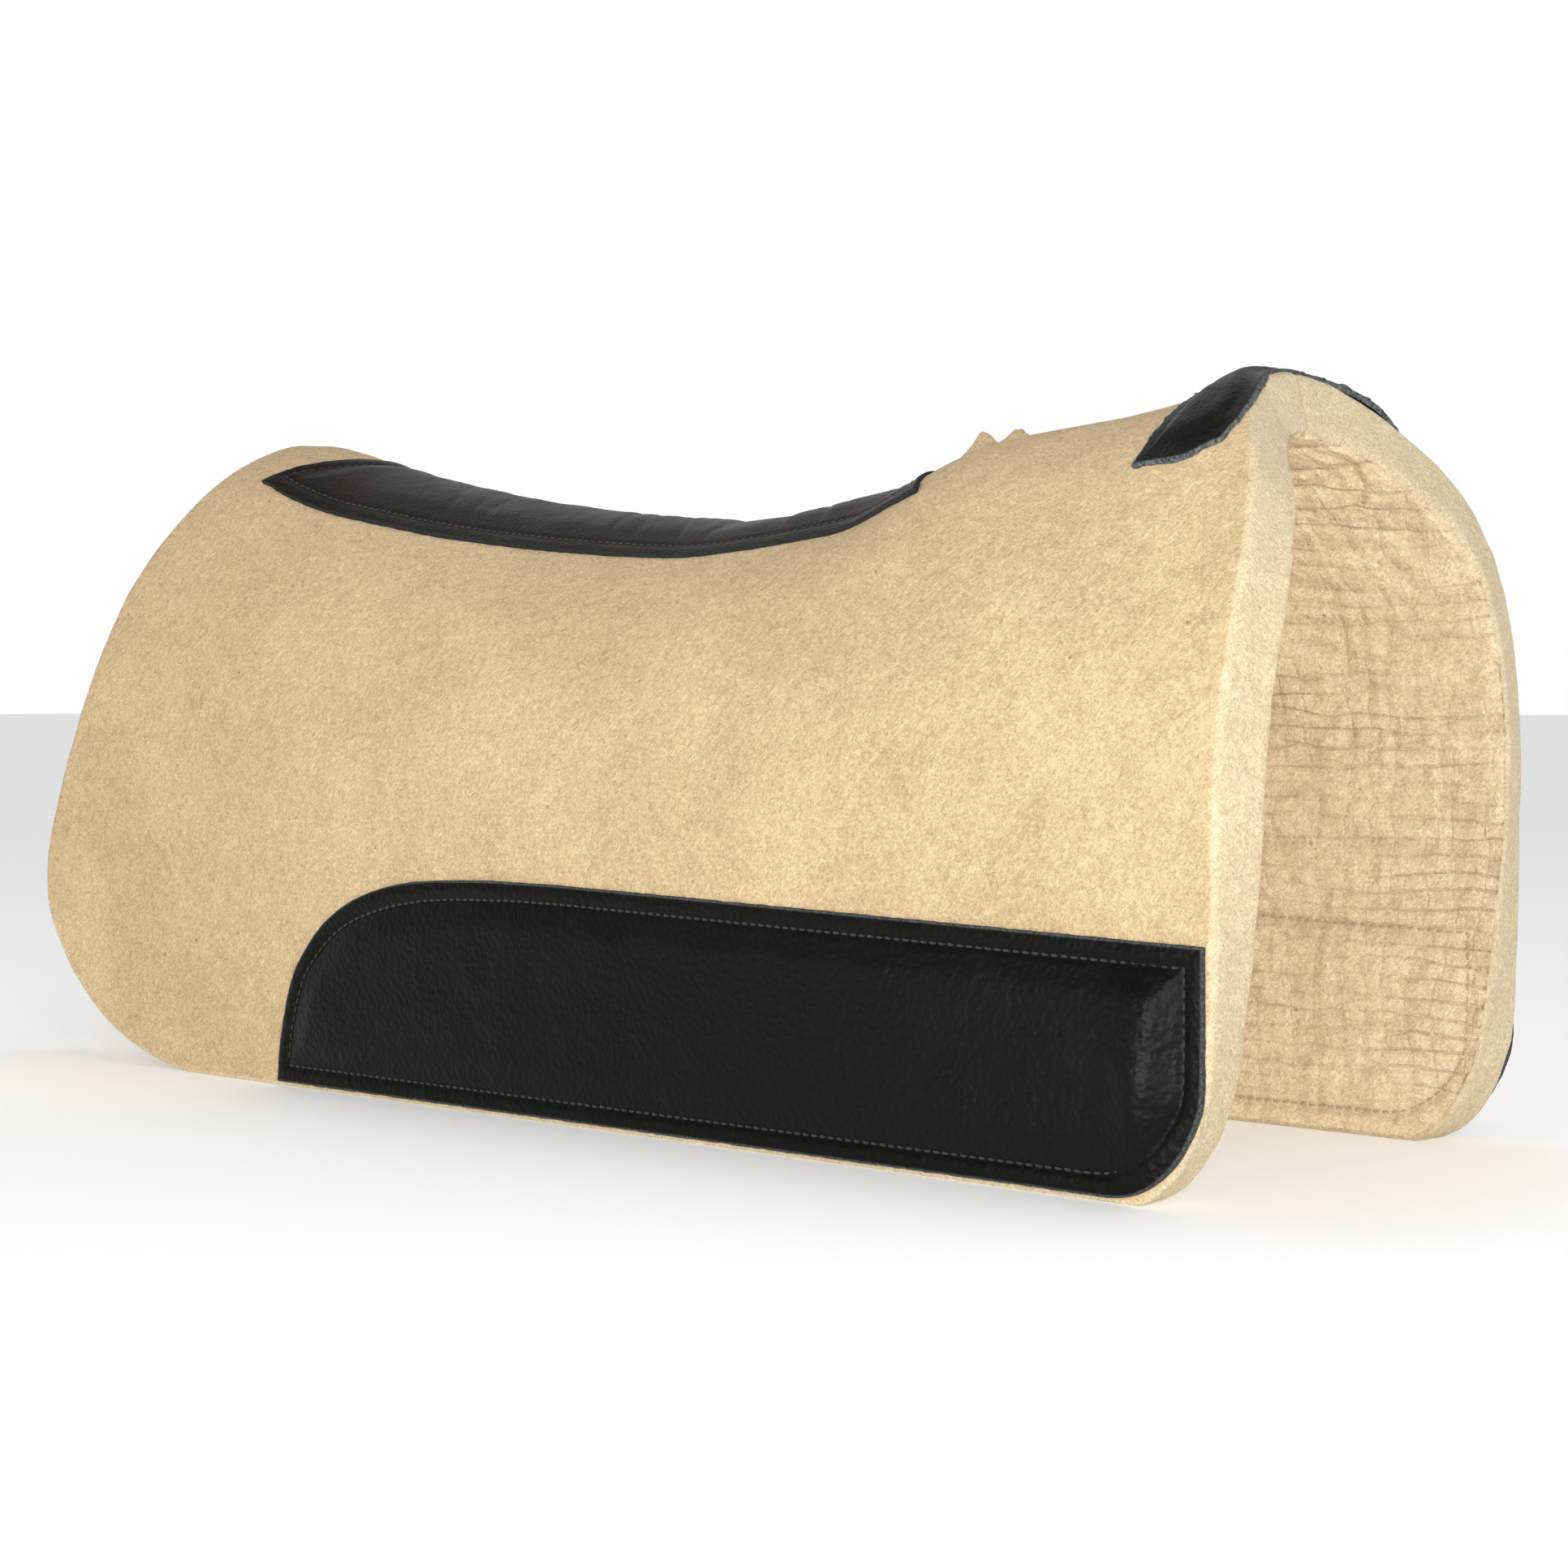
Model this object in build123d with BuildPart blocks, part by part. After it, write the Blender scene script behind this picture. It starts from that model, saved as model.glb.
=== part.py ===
"""Contoured wool-felt saddle pad standing on its two lower edges, in millimetres.

Two mirrored felt halves meet in a butt joint along a dipped ridge.  A leather strip
runs down the spine, a leather patch closes the front of the ridge over the withers,
and a wear leather is stitched low on each side.  +X points to the horse's head,
+Y to the horse's left, +Z up, and the lower edges stand on Z = 0.
"""
import os
from math import cos, hypot, pi, sin

from build123d import *

os.makedirs("parts", exist_ok=True)

# Felt
FELT = 25.4            # one inch of pressed wool felt
HALF_WIDTH = 123.3     # outer face of the upright flap
SHOULDER = 152         # height where the upright flap starts to arch over
STEP = 20              # spacing of the cross-sections
REACH = 400            # they run this far each way before the ends are cut
BELOW = 20             # and this far under the ground before the lower edge is cut flat
RIDGE = (              # station along the spine, height of the felt's ridge there
    (-400, 346), (-310, 345), (-273, 339), (-250, 330), (-220, 320), (-193, 314), (-133, 302),
    (-60, 291.5), (0, 285.5), (40, 283), (80, 285.5), (127, 291.5), (150, 296), (177, 308),
    (200, 316.5), (227, 319.5), (287, 326), (345, 336.5), (400, 338.5),
)
FLARE = 0.28           # the inside of the front edge stands this much further forward per mm
FRONT = (              # turn round the arch, front edge of the felt there
    (-10, 384), (0, 385), (20, 386), (35, 384), (48, 376), (62, 360), (76, 349), (90, 345), (106, 344),
)
FRONT_CORNER = 45
GROUND_FROM = -221     # the rear corner lifts off the ground behind here

# Opening over the withers
SLOT_FROM = 169
SLOT_TO = 307
SLOT_WIDTH = 36

# Leather
LEATHER = 2.5
CLEAR = 0.25           # leather stands this far off the felt
SPINE_HALF = 62        # half the spine leather's width, seen from above
SPINE_REAR = -278
SPINE_FRONT = 190
SPINE_HOLLOW = 26      # its ends are hollowed, leaving a point at each corner
WITHER_HALF = 77
WITHER_REAR = 314
WEAR_REAR = -184
WEAR_FRONT = 381
WEAR_TOP = 113
WEAR_BOTTOM = 2        # the felt alone meets the ground

# Thread
THREAD = 1.2           # width of a row of stitches
PROUD = 0.75           # how far a stitch stands above what it lies on
SEAT = 0.1
INSET = 9              # a row runs this far inside the leather's edge
WITHER_INSET = 7
INSIDE = 0.76          # a row crosses the arch square to the felt, so it comes out this much narrower


def eased(table, x):
    """The table's value at x, eased smoothly between the entries listed."""
    i = next(k for k in range(len(table) - 1) if x <= table[k + 1][0])
    (x0, z0), (x1, z1) = table[i], table[i + 1]
    before = table[max(i - 1, 0)]
    after = table[min(i + 2, len(table) - 1)]
    m0 = (z1 - before[1]) / (x1 - before[0]) * (x1 - x0)
    m1 = (after[1] - z0) / (after[0] - x0) * (x1 - x0)
    t = (x - x0) / (x1 - x0)
    return ((2 * t**3 - 3 * t**2 + 1) * z0 + (t**3 - 2 * t**2 + t) * m0
            + (3 * t**2 - 2 * t**3) * z1 + (t**3 - t**2) * m1)


def ridge(x):
    """Height of the felt's ridge at a station."""
    return eased(RIDGE, x)


def crown(x, turn, out=0):
    """A point of the arch `out` beyond the outer face; turn is 0 at the shoulder and 90 at the ridge."""
    a, b = HALF_WIDTH, ridge(x) - SHOULDER
    c, s = cos(turn * pi / 180), sin(turn * pi / 180)
    n = hypot(c / a, s / b)
    return (a * c + out * c / a / n, SHOULDER + b * s + out * s / b / n)


def stations(start, stop, count):
    return [start + (stop - start) * k / (count - 1) for k in range(count)]


# ---------------------------------------------------------------- felt halves
def half_section(x):
    """The left half cut across: upright flap, quarter arch, and the butt edge at Y = 0."""
    walls = []
    with BuildSketch(Plane.YZ.offset(x)) as section:
        with BuildLine():
            for out in (0, -FELT):
                flap = [(HALF_WIDTH + out, z) for z in (-BELOW, 38, 76, 114)]
                arch = [crown(x, turn, out) for turn in stations(0, 90, 13)]
                walls.append(Spline(*flap, *arch, tangents=[(0, 1), (-1, 0)]))
            Line(walls[0] @ 0, walls[1] @ 0)
            Line(walls[0] @ 1, walls[1] @ 1)
        make_face()
    return section.sketch


def side_outline():
    """Seen from the side: ground edge, lifted rear corner, raked rear edge, rounded front corner."""
    with BuildSketch(Plane.XZ) as outline:
        with BuildLine():
            rear = Spline((GROUND_FROM, 0), (-305, 10), (-362, 42), (-388, 76), (-393, 98), (-389, 124),
                          (-363, 190), (-342, 256), (-321, 306), (-301, 347),
                          tangents=[(-1, 0), (0.4, 1)])
            over = Polyline(rear @ 1, (-301, 420), (410, 420), (410, 120))
            front = Spline(over @ 1, (396, 80), (383, FRONT_CORNER - 3), (366, 13), (338, 0),
                           tangents=[(-0.3, -1), (-1, 0)])
            Line(front @ 1, rear @ 0)
        make_face()
    return outline.sketch


def front_cut(origin, along):
    """One slice, square to the felt, of the space in front of the front edge."""
    with BuildSketch(Plane(origin=origin, x_dir=(1, 0, 0), z_dir=along)) as cut:
        with BuildLine():
            Polyline((-12 * FLARE, 12), (42 * FLARE, -42), (90, -42), (90, 12), close=True)
        make_face()
    return cut.sketch


with BuildPart() as ahead:
    for height in range(-30, SHOULDER - 10, 20):
        add(front_cut((FRONT[0][1], HALF_WIDTH, height), (0, 0, 1)))
    for turn in range(0, 106, 7):
        front = eased(FRONT, turn)
        y, z = crown(front, turn)
        rise = (ridge(front) - SHOULDER) * cos(turn * pi / 180)
        add(front_cut((front, y, z), (0, -HALF_WIDTH * sin(turn * pi / 180), rise)))
    loft()

with BuildPart() as felt_left:
    for x in range(-REACH, REACH + 1, STEP):
        add(half_section(x))
    loft()
    add(extrude(side_outline(), amount=200, both=True, mode=Mode.PRIVATE), mode=Mode.INTERSECT)
    add(ahead.part, mode=Mode.SUBTRACT)
    with BuildSketch(Plane.XY.offset(200)):
        with Locations(((SLOT_FROM + SLOT_TO) / 2, 0)):
            SlotOverall(SLOT_TO - SLOT_FROM, SLOT_WIDTH)
    extrude(amount=200, mode=Mode.SUBTRACT)
felt_left.part.label = "felt_left"

with BuildPart() as felt_right:
    mirror(felt_left.part, about=Plane.XZ)
felt_right.part.label = "felt_right"


# ---------------------------------------------------------------- sheets laid on the arch
def arch_sheet(start, stop, outer, inner, low_turn):
    """A curved sheet over the ridge between two offsets of the felt's outer face."""
    turns = stations(low_turn, 180 - low_turn, 17)
    with BuildPart() as sheet:
        for x in range(start, stop + 1, STEP):
            with BuildSketch(Plane.YZ.offset(x)):
                with BuildLine():
                    top = Spline(*[crown(x, turn, outer) for turn in turns])
                    under = Spline(*[crown(x, turn, inner) for turn in turns])
                    Line(top @ 0, under @ 0)
                    Line(top @ 1, under @ 1)
                make_face()
        loft()
    return sheet.part


def flap_sheet(outline, outer, inner):
    """A flat sheet on the left flap, `outer` to `inner` beyond the felt's outer face."""
    with BuildPart() as sheet:
        extrude(outline.moved(Location((0, HALF_WIDTH + inner, 0))), amount=outer - inner, dir=(0, 1, 0))
    return sheet.part


def inside(outline, inset):
    """The outline drawn again `inset` further in, in plain splines."""
    with BuildSketch(Plane.XY) as smaller:
        with BuildLine():
            for edge in offset(outline, amount=-inset, mode=Mode.PRIVATE).face().outer_wire().edges():
                Spline(*[edge @ t for t in stations(0, 1, 9)])
        make_face()
    return smaller.sketch


def stitch_row(outline, inset):
    """A closed line of stitches running `inset` inside an outline."""
    with BuildSketch(Plane.XY) as row:
        add(inside(outline, inset - THREAD / 2))
        add(inside(outline, inset + THREAD / 2), mode=Mode.SUBTRACT)
    return row.sketch


def narrowed(row):
    """The same row where it comes out on the inside of the arch."""
    return scale(row, by=(1, INSIDE, 1), mode=Mode.PRIVATE)


def cut_from(sheet, outline):
    """The part of an arched sheet that lies inside a plan outline."""
    with BuildPart() as piece:
        add(sheet)
        add(extrude(outline, amount=420, dir=(0, 0, 1), mode=Mode.PRIVATE), mode=Mode.INTERSECT)
    return piece.part


ON_LEATHER = CLEAR + LEATHER

# ---------------------------------------------------------------- spine leather
with BuildSketch(Plane.XY) as spine_outline:
    with BuildLine():
        near = Spline((SPINE_REAR, -SPINE_HALF + 2), (SPINE_REAR + 18, -SPINE_HALF), (0, -SPINE_HALF + 1),
                      (SPINE_FRONT - 20, -SPINE_HALF - 2), (SPINE_FRONT, -SPINE_HALF - 2))
        far = Spline((SPINE_REAR, SPINE_HALF - 2), (SPINE_REAR + 18, SPINE_HALF), (0, SPINE_HALF - 1),
                     (SPINE_FRONT - 20, SPINE_HALF + 2), (SPINE_FRONT, SPINE_HALF + 2))
        ThreePointArc(near @ 0, (SPINE_REAR + SPINE_HOLLOW, 0), far @ 0)
        ThreePointArc(near @ 1, (SPINE_FRONT - SPINE_HOLLOW, 0), far @ 1)
    make_face()

spine_leather = cut_from(arch_sheet(-320, 220, ON_LEATHER, CLEAR, 52), spine_outline.sketch)
spine_row = stitch_row(spine_outline.sketch, INSET)
spine_needle_thread = cut_from(
    arch_sheet(-320, 220, ON_LEATHER + PROUD, ON_LEATHER + SEAT, 55), spine_row)
spine_bobbin_thread = cut_from(
    arch_sheet(-320, 220, -FELT - SEAT, -FELT - PROUD, 50), narrowed(spine_row))

# ---------------------------------------------------------------- wither leather
with BuildSketch(Plane.XY) as wither_outline:
    with BuildLine():
        back = Spline((WITHER_REAR, -WITHER_HALF + 1), (WITHER_REAR, -55), (WITHER_REAR + 3, 0),
                      (WITHER_REAR, 55), (WITHER_REAR, WITHER_HALF - 1))
        front = Spline((356, -62), (353, -48), (345, -26), (342, 0), (345, 26), (353, 48), (356, 62))
        Spline(back @ 0, (332, -WITHER_HALF), (348, -73), front @ 0)
        Spline(back @ 1, (332, WITHER_HALF), (348, 73), front @ 1)
    make_face()

wither_leather = cut_from(arch_sheet(280, 380, ON_LEATHER, CLEAR, 44), wither_outline.sketch)
wither_row = stitch_row(wither_outline.sketch, WITHER_INSET)
wither_needle_thread = cut_from(
    arch_sheet(280, 380, ON_LEATHER + PROUD, ON_LEATHER + SEAT, 46), wither_row)
wither_bobbin_thread = cut_from(
    arch_sheet(280, 380, -FELT - SEAT, -FELT - PROUD, 44), narrowed(wither_row))

# ---------------------------------------------------------------- wear leathers
with BuildSketch(Plane.XZ) as wear_outline:
    with BuildLine():
        rear = Spline((WEAR_REAR, WEAR_BOTTOM), (-171, 56), (-144, 88), (-94, 109), (-23, WEAR_TOP),
                      (85, WEAR_TOP - 2), (WEAR_FRONT, 104), tangents=[(0.15, 1), (1, -0.02)])
        side = Line(rear @ 1, (WEAR_FRONT, 42))
        corner = Spline(side @ 1, (365, 15), (336, WEAR_BOTTOM), tangents=[(0, -1), (-1, 0)])
        Line(corner @ 1, rear @ 0)
    make_face()
wear_row_plan = stitch_row(Plane.XZ.to_local_coords(wear_outline.sketch), INSET)
wear_row = Plane.XZ.from_local_coords(wear_row_plan)

left = {
    "wear_leather_left": flap_sheet(wear_outline.sketch, ON_LEATHER, CLEAR),
    "wear_needle_thread_left": flap_sheet(wear_row, ON_LEATHER + PROUD, ON_LEATHER + SEAT),
    "wear_bobbin_thread_left": flap_sheet(wear_row, -FELT - SEAT, -FELT - PROUD),
}

# ---------------------------------------------------------------- files
pieces = {
    "felt_left": felt_left.part,
    "felt_right": felt_right.part,
    "spine_leather": spine_leather,
    "spine_needle_thread": spine_needle_thread,
    "spine_bobbin_thread": spine_bobbin_thread,
    "wither_leather": wither_leather,
    "wither_needle_thread": wither_needle_thread,
    "wither_bobbin_thread": wither_bobbin_thread,
}
for name, piece in left.items():
    with BuildPart() as right:
        mirror(piece, about=Plane.XZ)
    pieces[name] = piece
    pieces[name.replace("left", "right")] = right.part
for name, piece in pieces.items():
    piece.label = name
    export_step(piece, f"parts/{name}.step")
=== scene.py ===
import math

import bpy
import numpy as np
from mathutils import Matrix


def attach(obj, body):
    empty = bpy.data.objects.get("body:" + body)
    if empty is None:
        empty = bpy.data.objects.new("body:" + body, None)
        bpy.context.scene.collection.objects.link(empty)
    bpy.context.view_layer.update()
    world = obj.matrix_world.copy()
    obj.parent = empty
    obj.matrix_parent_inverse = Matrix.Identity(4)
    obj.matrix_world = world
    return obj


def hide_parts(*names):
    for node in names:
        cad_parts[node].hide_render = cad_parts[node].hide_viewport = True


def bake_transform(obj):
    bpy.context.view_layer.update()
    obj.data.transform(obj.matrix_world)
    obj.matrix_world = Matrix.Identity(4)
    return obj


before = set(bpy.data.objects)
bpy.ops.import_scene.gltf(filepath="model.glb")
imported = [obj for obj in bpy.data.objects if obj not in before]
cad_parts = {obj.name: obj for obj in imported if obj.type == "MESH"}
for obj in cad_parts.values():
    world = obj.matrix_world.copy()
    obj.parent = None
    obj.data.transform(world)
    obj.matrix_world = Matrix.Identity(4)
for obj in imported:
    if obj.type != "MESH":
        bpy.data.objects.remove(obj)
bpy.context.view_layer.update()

# ------------------------------------------------------------------ driving sizes, millimetres
FELT = 25.4
HALF_WIDTH = 123.3
SHOULDER = 152.0
RIDGE = ((-400, 346), (-310, 345), (-273, 339), (-250, 330), (-220, 320), (-193, 314), (-133, 302),
         (-60, 291.5), (0, 285.5), (40, 283), (80, 285.5), (127, 291.5), (150, 296), (177, 308),
         (200, 316.5), (227, 319.5), (287, 326), (345, 336.5), (400, 338.5))
FRONT = ((-10, 384), (0, 385), (20, 386), (35, 384), (48, 376), (62, 360), (76, 349), (90, 345), (106, 344))
# keyed by the square root of the height, so that both lower corners leave the ground level
REAR_BY_ROOT = ((0, -221), (3.2, -305), (6.5, -362), (8.7, -388), (9.9, -393), (11.1, -389),
                (13.8, -363), (16.0, -342), (17.5, -321), (18.6, -301))
FRONT_BY_ROOT = ((0, 338), (3.6, 366), (6.5, 381), (8.5, 384.2), (12.4, 385))
SLOT_FROM, SLOT_TO, SLOT_HALF = 169.0, 307.0, 18.0
SPINE_HALF, SPINE_REAR, SPINE_FRONT, SPINE_HOLLOW = 62.0, -278.0, 190.0, 26.0
INSET = 9.0
WITHER_INSET = 7.0
INSIDE = 0.76


def eased(table, x):
    """A table's value at x, eased through its entries."""
    t = np.array(table, float)
    kx, kz = t[:, 0], t[:, 1]
    x = np.clip(np.asarray(x, float), kx[0], kx[-1])
    i = np.clip(np.searchsorted(kx, x) - 1, 0, len(kx) - 2)
    x0, x1, z0, z1 = kx[i], kx[i + 1], kz[i], kz[i + 1]
    b, a = np.maximum(i - 1, 0), np.minimum(i + 2, len(kx) - 1)
    m0 = (z1 - kz[b]) / (x1 - kx[b]) * (x1 - x0)
    m1 = (kz[a] - z0) / (kx[a] - x0) * (x1 - x0)
    s = (x - x0) / (x1 - x0)
    return ((2 * s**3 - 3 * s**2 + 1) * z0 + (s**3 - 2 * s**2 + s) * m0
            + (3 * s**2 - 2 * s**3) * z1 + (s**3 - s**2) * m1)


def step(a, b, x):
    t = np.clip((x - a) / (b - a), 0, 1)
    return t * t * (3 - 2 * t)


def hump(x, centre, width):
    return np.exp(-(((x - centre) / width) ** 2))


def arch(x, q):
    """Outer face of the left half: q is 0 to 1 up the flap and 1 to 2 round the arch. Point and normal."""
    b = eased(RIDGE, x) - SHOULDER
    turn = np.radians(np.clip(q - 1, 0, 2) * 90)
    c, s = np.cos(turn), np.sin(turn)
    n = np.hypot(c / HALF_WIDTH, s / b)
    low = q < 1
    y = np.where(low, HALF_WIDTH, HALF_WIDTH * c)
    z = np.where(low, SHOULDER * q, SHOULDER + b * s)
    ny = np.where(low, 1.0, c / HALF_WIDTH / n)
    nz = np.where(low, 0.0, s / b / n)
    return np.stack([x + 0 * y, y, z], -1), np.stack([0 * ny, ny, nz], -1)


def over_ridge(x, y):
    """Outer face at a plan position near the ridge, either side. Point and normal."""
    b = eased(RIDGE, x) - SHOULDER
    s = np.sqrt(np.clip(1 - (y / HALF_WIDTH) ** 2, 0.0, 1))
    n = np.hypot(y / HALF_WIDTH**2, s / b)
    return (np.stack([x + 0 * y, y + 0 * x, SHOULDER + b * s], -1),
            np.stack([0 * s, y / HALF_WIDTH**2 / n, s / b / n], -1))


# ------------------------------------------------------------------ noise
LATTICES = {}


def noise(p, size, seed=0):
    """Smooth noise from about -1 to 1 at points p (mm), features of the given size (a number or one per axis)."""
    if seed not in LATTICES:
        LATTICES[seed] = np.random.default_rng(1000 + seed).uniform(-1, 1, (64, 64, 64))
    table = LATTICES[seed]
    g = p / np.asarray(size, float) + 17.3
    i = np.floor(g).astype(int)
    f = g - i
    f = f * f * (3 - 2 * f)
    total = 0
    for dx in (0, 1):
        for dy in (0, 1):
            for dz in (0, 1):
                w = (np.where(dx, f[..., 0], 1 - f[..., 0]) * np.where(dy, f[..., 1], 1 - f[..., 1])
                     * np.where(dz, f[..., 2], 1 - f[..., 2]))
                total = total + w * table[(i[..., 0] + dx) % 64, (i[..., 1] + dy) % 64, (i[..., 2] + dz) % 64]
    return total


def creases(p, size, seed, sharp=7):
    """0 to 1, with thin winding lines of 1."""
    return (1 - np.abs(noise(p, size, seed))) ** sharp


# ------------------------------------------------------------------ meshes
def to_object(name, points, faces, body=None, smooth=True, **layers):
    """A mesh object from millimetre points and faces, with float attributes by name."""
    mesh = bpy.data.meshes.new(name)
    mesh.from_pydata((np.asarray(points) * 0.001).tolist(), [], faces)
    mesh.validate()
    for key, value in layers.items():
        mesh.attributes.new(key, "FLOAT", "POINT").data.foreach_set("value", np.asarray(value, np.float32))
    if smooth:
        mesh.polygons.foreach_set("use_smooth", [True] * len(mesh.polygons))
    obj = bpy.data.objects.new(name, mesh)
    bpy.context.scene.collection.objects.link(obj)
    if body:
        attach(obj, body)
    return obj


def slab(top, under, rounding, depths, flip=False):
    """A closed slab between two grids of points, its rim swelling outward by `rounding` at each border vertex.

    Returns points, faces, and per-point where: 0 top, 1 rim, 2 under.
    """
    ni, nj = top.shape[:2]
    loop = ([(i, 0) for i in range(ni)] + [(ni - 1, j) for j in range(1, nj)]
            + [(i, nj - 1) for i in range(ni - 2, -1, -1)] + [(0, j) for j in range(nj - 2, 0, -1)])
    li, lj = np.array([a for a, _ in loop]), np.array([b for _, b in loop])
    a, b = top[li, lj], under[li, lj]
    out = np.zeros_like(a)
    for mask, di, dj in ((li == 0, 1, 0), (li == ni - 1, -1, 0), (lj == 0, 0, 1), (lj == nj - 1, 0, -1)):
        ii, jj = np.clip(li + di, 0, ni - 1), np.clip(lj + dj, 0, nj - 1)
        d = a - top[ii, jj]
        d /= np.linalg.norm(d, axis=1, keepdims=True) + 1e-9
        out[mask] += d[mask]
    along = np.roll(a, -1, 0) - np.roll(a, 1, 0)
    along /= np.linalg.norm(along, axis=1, keepdims=True) + 1e-9
    corner = ((li == 0) | (li == ni - 1)) & ((lj == 0) | (lj == nj - 1))
    flat = out - (out * along).sum(1, keepdims=True) * along
    out = np.where(corner[:, None], out, flat)
    out /= np.linalg.norm(out, axis=1, keepdims=True) + 1e-9
    r = np.asarray(rounding, float)[li, lj] if np.ndim(rounding) == 2 else np.full(len(li), float(rounding))
    thick = np.linalg.norm(a - b, axis=1)
    points = [top.reshape(-1, 3), under.reshape(-1, 3)]
    where = [np.zeros(ni * nj), np.full(ni * nj, 2.0)]
    rings = [li * nj + lj]
    base = 2 * ni * nj
    for d in depths[1:-1]:
        edge = np.minimum(d, 1 - d) * thick
        bulge = r * np.sqrt(np.clip(1 - (1 - np.clip(edge / np.maximum(r, 1e-3), 0, 1)) ** 2, 0, 1))
        points.append(a * (1 - d) + b * d + out * bulge[:, None])
        where.append(np.ones(len(li)))
        rings.append(base + np.arange(len(li)))
        base += len(li)
    rings.append(ni * nj + li * nj + lj)
    faces = []
    idx = np.arange(ni * nj).reshape(ni, nj)
    quads = np.stack([idx[:-1, :-1], idx[1:, :-1], idx[1:, 1:], idx[:-1, 1:]], -1).reshape(-1, 4)
    rim = []
    for upper, lower in zip(rings[:-1], rings[1:]):
        rim.append(np.stack([upper, lower, np.roll(lower, -1), np.roll(upper, -1)], -1))
    faces = np.concatenate([quads, quads[:, ::-1] + ni * nj, *rim])
    if flip:
        faces = faces[:, ::-1]
    return np.concatenate(points), faces.tolist(), np.concatenate(where)


def normals_of(points, faces):
    """Vertex normals of a mesh of quads."""
    f = np.array(faces)
    n = np.cross(points[f[:, 2]] - points[f[:, 0]], points[f[:, 3]] - points[f[:, 1]])
    total = np.zeros_like(points)
    for k in range(4):
        np.add.at(total, f[:, k], n)
    return total / (np.linalg.norm(total, axis=1, keepdims=True) + 1e-9)


def distance(p, line):
    """Distance from 2-D points to a closed line of points, in blocks to save memory."""
    a, b = line, np.roll(line, -1, 0)
    d = b - a
    length = (d * d).sum(1) + 1e-9
    result = np.empty(len(p))
    for k in range(0, len(p), 4000):
        q = p[k:k + 4000, None, :] - a[None]
        t = np.clip((q * d[None]).sum(2) / length, 0, 1)
        result[k:k + 4000] = np.sqrt(((q - t[..., None] * d[None]) ** 2).sum(2)).min(1)
    return result


def even(line, pitch):
    """The closed line again, at an even pitch near the one asked for."""
    closed = np.concatenate([line, line[:1]])
    along = np.concatenate([[0], np.cumsum(np.linalg.norm(np.diff(closed, axis=0), axis=1))])
    count = max(8, int(round(along[-1] / pitch)))
    at = np.linspace(0, along[-1], count, endpoint=False)
    return np.stack([np.interp(at, along, closed[:, k]) for k in range(closed.shape[1])], 1)


# ------------------------------------------------------------------ outlines of the leathers and their stitch rows
def spine_plan(u, v, inset=0.0):
    """Plan position inside the spine leather: u 0 to 1 along, v -1 to 1 across."""
    rear = SPINE_REAR + SPINE_HOLLOW * (1 - np.abs(v) ** 1.8) + inset * 1.15
    front = SPINE_FRONT - SPINE_HOLLOW * (1 - np.abs(v) ** 1.8) - inset * 1.15
    x = rear + (front - rear) * u
    half = SPINE_HALF - 1 + 3 * step(60, 180, x) - 1.5 * step(-255, -278, x)
    return np.stack([x, v * (half - inset)], -1)


def wither_plan(u, v, inset=0.0):
    """Plan position inside the wither leather."""
    rear = 316.5 - 3 * np.abs(v) ** 1.5 + inset
    front = 341.5 + 16 * step(0.1, 0.8, np.abs(v)) - 3 * step(0.88, 1.0, np.abs(v)) - inset
    x = rear + (front - rear) * u
    half = 76 + 1.5 * np.sin(np.clip(u, 0, 1) * math.pi * 0.8) - 4.0 * step(0.6, 1, u)
    return np.stack([x, v * (half - inset)], -1)


WEAR_REAR_BY_HEIGHT = ((0.0, -184), (0.25, -180), (0.5, -171), (0.65, -159), (0.78, -143), (0.88, -122),
                       (0.95, -96), (0.985, -66), (1.0, -26))


def wear_plan(u, v, inset=0.0):
    """Side position (x, z) inside a wear leather: v 0 at the bottom to 1 at the top."""
    k = np.sqrt(v)
    rear = eased(WEAR_REAR_BY_HEIGHT, v) + inset * (1 + 0.6 * step(0.8, 1.0, v))
    front = eased(((0, 337), (0.33, 364), (0.6, 379.5), (0.75, 381), (1.0, 381)), k) - inset
    x = rear + (front - rear) * u
    top = 112.5 - 8.5 * np.clip((x - 20) / 361, 0, 1)
    return np.stack([x, 2.3 + inset + v * (top - 2.3 - 2 * inset)], -1)


def border(plan, lo, inset, n=160):
    """The closed border of a plan at an inset; lo is the low end of v."""
    u, v = np.linspace(0, 1, n), np.linspace(lo, 1, n)
    runs = [plan(u, np.full(n, lo), inset), plan(np.ones(n), v, inset),
            plan(u[::-1], np.full(n, 1.0), inset), plan(np.zeros(n), v[::-1], inset)]
    return np.concatenate([r[:-1] for r in runs])


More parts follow.
